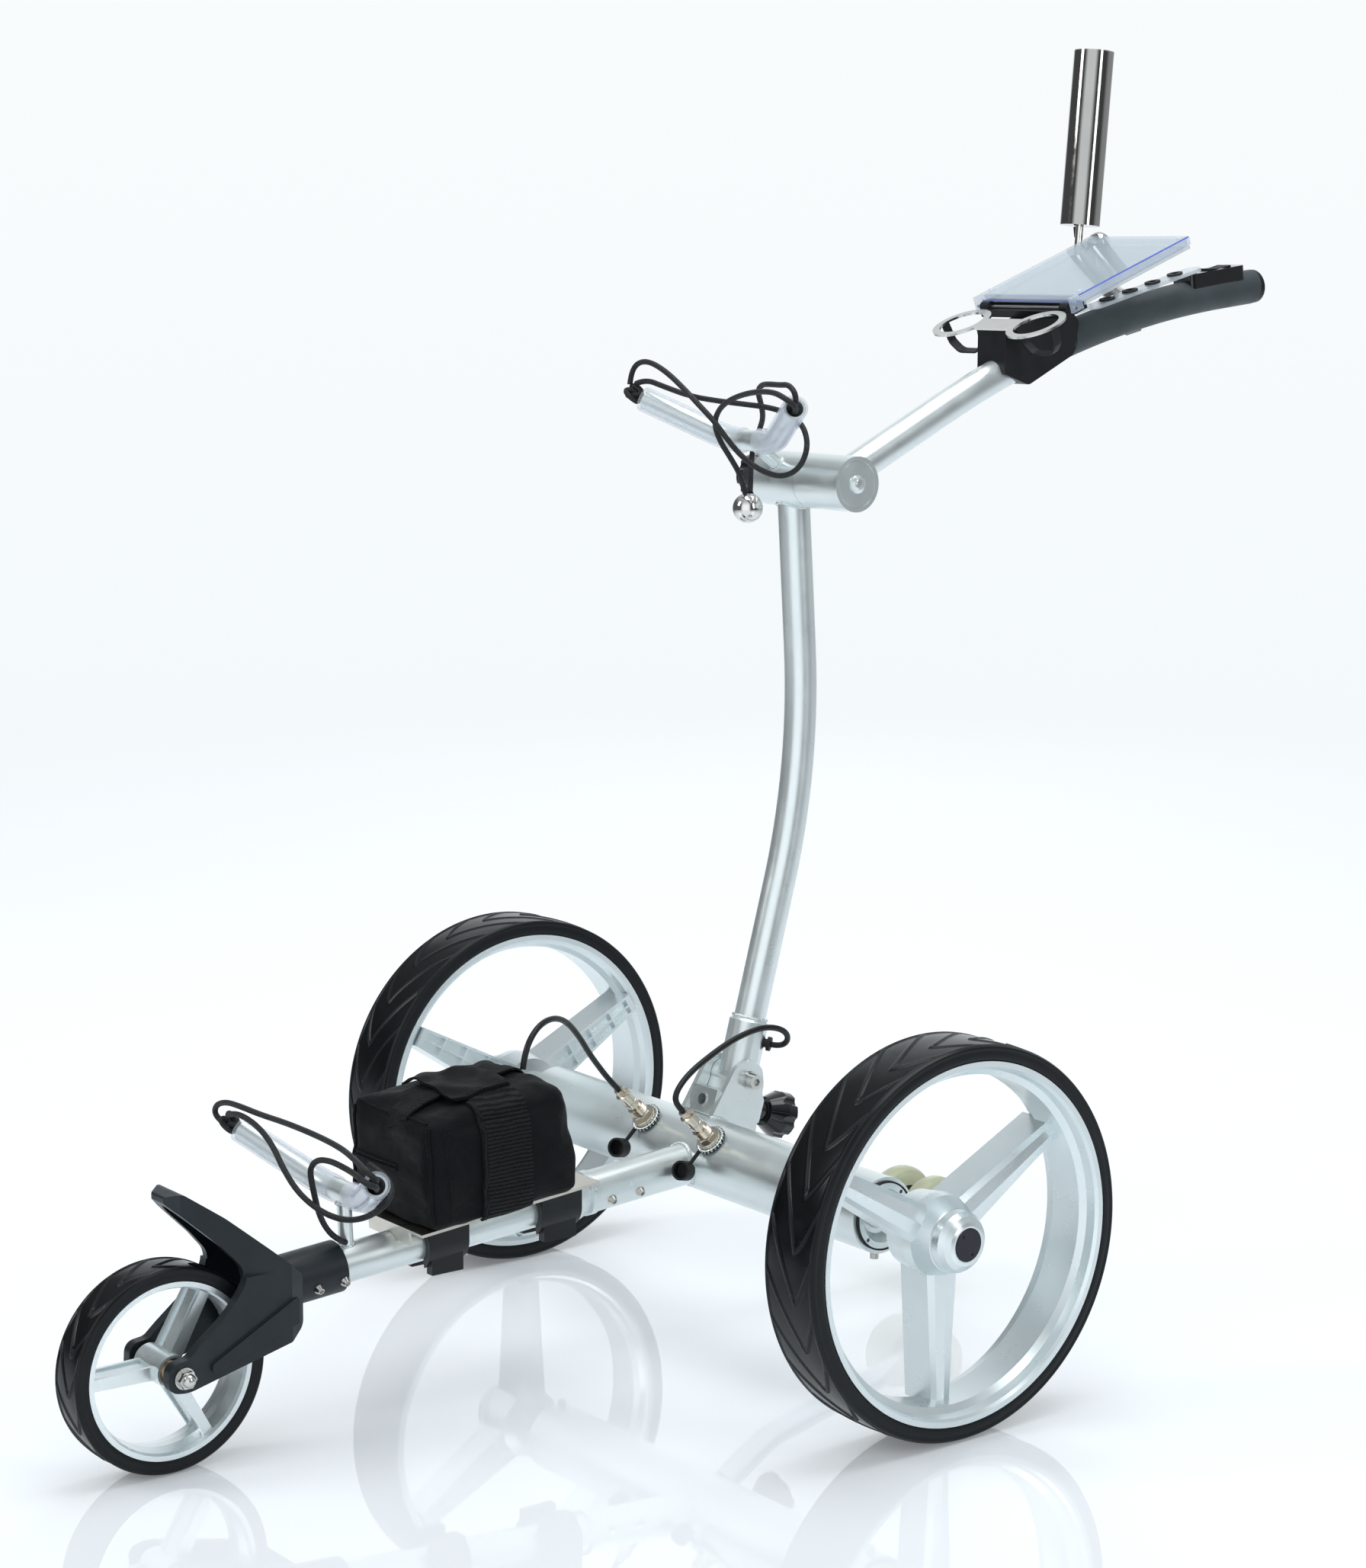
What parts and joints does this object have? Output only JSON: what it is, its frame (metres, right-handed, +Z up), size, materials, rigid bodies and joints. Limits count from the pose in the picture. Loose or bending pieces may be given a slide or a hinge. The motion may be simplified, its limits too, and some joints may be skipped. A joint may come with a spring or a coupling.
{
  "type": "electric golf trolley",
  "caption": "Folding electric golf trolley: two driven wheels on a motor axle, front wheel in a fork, battery bag, curved upright with cord cradles, handle with accessories.",
  "frame": {"origin": "on the floor, midway between the two driven wheels' faces and under the middle of the overall length", "axes": "+Y from the front wheel towards the handle, +Z up, +X along the axle"},
  "size_m": [0.66, 1.227, 1.1101],
  "materials": {
    "silver_frame": "satin silver, fine grain",
    "silver_wheel": "satin silver, cast",
    "tyre": "semi-gloss black tread",
    "motor": "satin",
    "connector_metal": "champagne plated",
    "socket_metal": "champagne plated nut with black rubber ring",
    "fork_black": "satin black moulding",
    "clamp_black": "satin black moulding",
    "knob_black": "gloss black",
    "stainless": "bright",
    "screw_steel": "bright",
    "bearing": "bronze and steel",
    "chrome": "mirror",
    "hinge_plate": "satin with black block",
    "tray_steel": "bright folded sheet",
    "bag_fabric": "black woven nylon",
    "battery_case": "shrink-wrapped pack",
    "tail_tyre": "translucent yellow-green",
    "grip_rubber": "slate grey, speckled",
    "grommet_rubber": "matt black",
    "ring_steel": "thin bright steel",
    "tray_black": "black moulding",
    "clear_lid": "clear sheet with blue edges",
    "clear_strip": "clear strip, black grommets",
    "module_black": "satin black case",
    "button_grey": "light grey key",
    "rocker_black": "black key",
    "polished_tube": "mirror polished steel",
    "shock_cord": "braided black",
    "cable_jacket": "smooth black jacket"
  },
  "bodies": {
    "frame": {"axle_tube": "silver_frame", "drive_units": "motor", "connector_sockets": "socket_metal", "connector_plugs": "connector_metal", "stub_tube": "silver_frame", "front_tube": "silver_frame", "frame_screws": "screw_steel", "front_fork": "fork_black", "front_axle": "stainless", "lower_cradle": "silver_frame", "tray_clamps": "clamp_black", "battery_tray": "tray_steel", "battery_bag": "bag_fabric", "bag_lid": "bag_fabric", "battery_pack": "battery_case", "tail_tube": "silver_frame", "hinge_bracket": "hinge_plate", "pivot_bolt": "stainless", "lower_knot": "shock_cord", "lower_loop": "shock_cord", "lower_strand": "shock_cord", "lower_hook": "shock_cord", "battery_cable": "cable_jacket", "control_cable": "cable_jacket"},
    "rear_wheel_right": {"rear_rim_right": "silver_wheel", "rear_tyre_right": "tyre", "rear_shaft_right": "screw_steel"},
    "rear_wheel_left": {"rear_rim_left": "silver_wheel", "rear_tyre_left": "tyre", "rear_shaft_left": "screw_steel"},
    "front_wheel": {"front_rim": "silver_wheel", "front_tyre": "tyre", "front_bearings": "bearing"},
    "anti_tip_wheel_right": {"tail_wheel_right": "tail_tyre"},
    "anti_tip_wheel_left": {"tail_wheel_left": "tail_tyre"},
    "upright": {"upright_tube": "silver_frame", "upright_foot": "silver_frame", "cable_grommet": "grommet_rubber", "post_barrel": "silver_frame", "upper_cradle": "silver_frame", "upper_knot": "shock_cord", "cord_ball": "chrome", "upper_loop": "shock_cord", "ball_cord_front": "shock_cord", "ball_cord_back": "shock_cord"},
    "hinge_knob": {"base_knob": "knob_black"},
    "handle_knob": {"top_knob": "knob_black"},
    "handle": {"handle_barrel": "silver_frame", "handle_tube": "silver_frame", "grip": "grip_rubber", "handle_clamp": "clamp_black", "ring_plate": "ring_steel", "card_base": "tray_black", "tee_strip": "clear_strip", "control_module": "module_black", "umbrella_holder": "chrome"},
    "lid": {"card_lid": "clear_lid"},
    "button": {"power_button": "button_grey"},
    "rocker": {"speed_rocker": "rocker_black"},
    "umbrella": {"umbrella_tube": "polished_tube"}
  },
  "joints": [
    {"name": "rear_right_spin", "type": "hinge", "parent": "frame", "child": "rear_wheel_right", "pos_m": [0.3, 0, 0.16], "axis": [1, 0, 0], "continuous": true},
    {"name": "rear_left_spin", "type": "hinge", "parent": "frame", "child": "rear_wheel_left", "pos_m": [-0.3, 0, 0.16], "axis": [1, 0, 0], "continuous": true},
    {"name": "front_spin", "type": "hinge", "parent": "frame", "child": "front_wheel", "pos_m": [0, -0.5315, 0.082], "axis": [1, 0, 0], "continuous": true},
    {"name": "anti_tip_right_spin", "type": "hinge", "parent": "frame", "child": "anti_tip_wheel_right", "pos_m": [0.0225, 0.24, 0.07], "axis": [1, 0, 0], "continuous": true},
    {"name": "anti_tip_left_spin", "type": "hinge", "parent": "frame", "child": "anti_tip_wheel_left", "pos_m": [-0.0225, 0.24, 0.07], "axis": [1, 0, 0], "continuous": true},
    {"name": "upright_fold", "type": "hinge", "parent": "frame", "child": "upright", "pos_m": [-0.023, 0.046, 0.218], "axis": [1, 0, 0], "range_deg": [0, 65]},
    {"name": "hinge_knob_turn", "type": "hinge", "parent": "upright", "child": "hinge_knob", "pos_m": [-0.023, 0.08714, 0.17795], "axis": [0, 0.9517, -0.3069], "continuous": true},
    {"name": "handle_knob_turn", "type": "hinge", "parent": "upright", "child": "handle_knob", "pos_m": [-0.055, 0.1065, 0.734], "axis": [1, 0, 0], "continuous": true},
    {"name": "handle_fold", "type": "hinge", "parent": "upright", "child": "handle", "pos_m": [0.033, 0.1065, 0.734], "axis": [1, 0, 0], "range_deg": [-105, 15]},
    {"name": "lid_hinge", "type": "hinge", "parent": "handle", "child": "lid", "pos_m": [0.033, 0.324, 0.879], "axis": [1, 0, 0], "range_deg": [0, 100]},
    {"name": "button_press", "type": "slide", "parent": "handle", "child": "button", "axis": [0, 0.1305, -0.9914], "range_m": [0, 0.0015], "stiffness_N_per_m": 600},
    {"name": "rocker_tilt", "type": "hinge", "parent": "handle", "child": "rocker", "pos_m": [0.033, 0.56005, 0.90924], "axis": [1, 0, 0], "range_deg": [-6, 6], "stiffness_Nm_per_rad": 0.06},
    {"name": "umbrella_swivel", "type": "hinge", "parent": "handle", "child": "umbrella", "pos_m": [-0.049, 0.4672, 0.9513], "axis": [0, 0.0856, 0.9963], "continuous": true}
  ]
}
